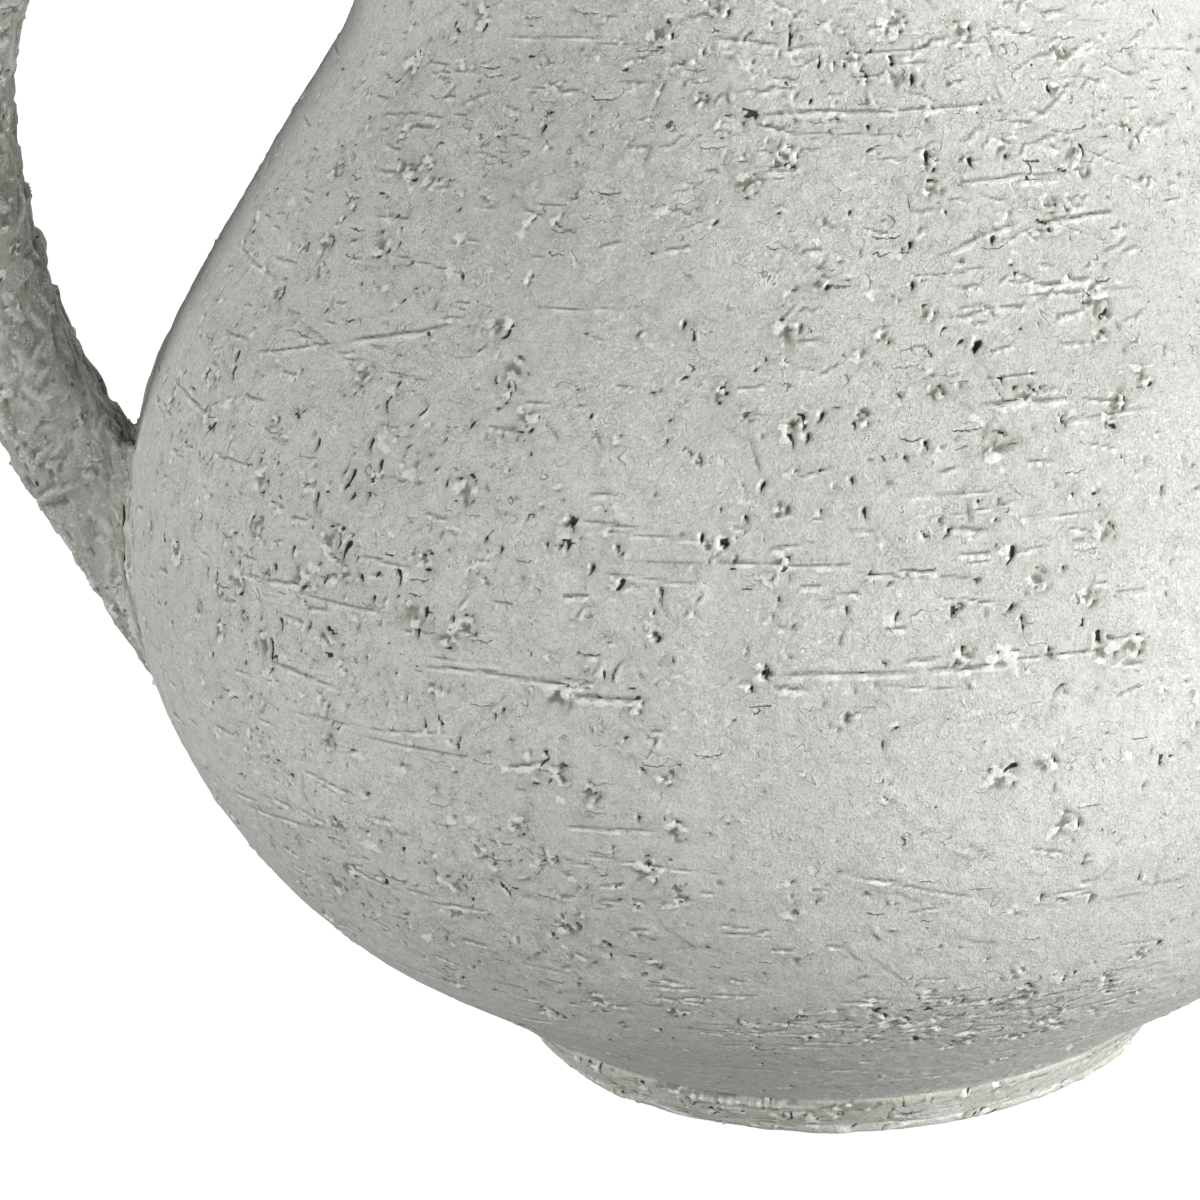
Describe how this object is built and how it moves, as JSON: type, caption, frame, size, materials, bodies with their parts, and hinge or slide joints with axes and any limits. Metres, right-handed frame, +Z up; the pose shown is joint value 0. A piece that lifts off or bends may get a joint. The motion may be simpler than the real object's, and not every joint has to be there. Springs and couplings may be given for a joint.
{
  "type": "botijo",
  "caption": "Large round unglazed clay water vessel with a low foot ring, wide neck, domed top, filling mouth, drinking spout and side handle.",
  "frame": {"origin": "centre of the foot ring's sole, which is also the bottom centre of the bounding box", "axes": "+Z up along the vessel's turning axis, +X towards the drinking spout, -X towards the handle, +Y to the left of the spout"},
  "size_m": [0.3759, 0.3, 0.3569],
  "materials": {
    "wall_clay": "matt unglazed pale grey clay, coarse, pitted and scratched",
    "foot_clay": "matt unglazed pale beige clay, scraped",
    "handle_clay": "matt unglazed pale grey clay, lumpy from the hand",
    "joint_clay": "matt unglazed pale clay, pressed and smeared by hand",
    "inner_clay": "matt unglazed clay, damp grey inside"
  },
  "bodies": {
    "root": {"foot_ring": "foot_clay", "base_slab": "inner_clay", "lower_wall": "wall_clay", "belly_seam_coil": "inner_clay", "upper_wall": "wall_clay", "neck_seam_coil": "inner_clay", "neck_wall": "wall_clay", "top_dome": "wall_clay", "mouth_root_coil": "joint_clay", "mouth_collar": "wall_clay", "mouth_lip": "wall_clay", "spout_tube": "wall_clay", "spout_tip": "wall_clay", "spout_root_coil": "joint_clay", "handle": "handle_clay", "handle_lower_pad": "joint_clay", "handle_upper_pad": "joint_clay"}
  },
  "joints": []
}
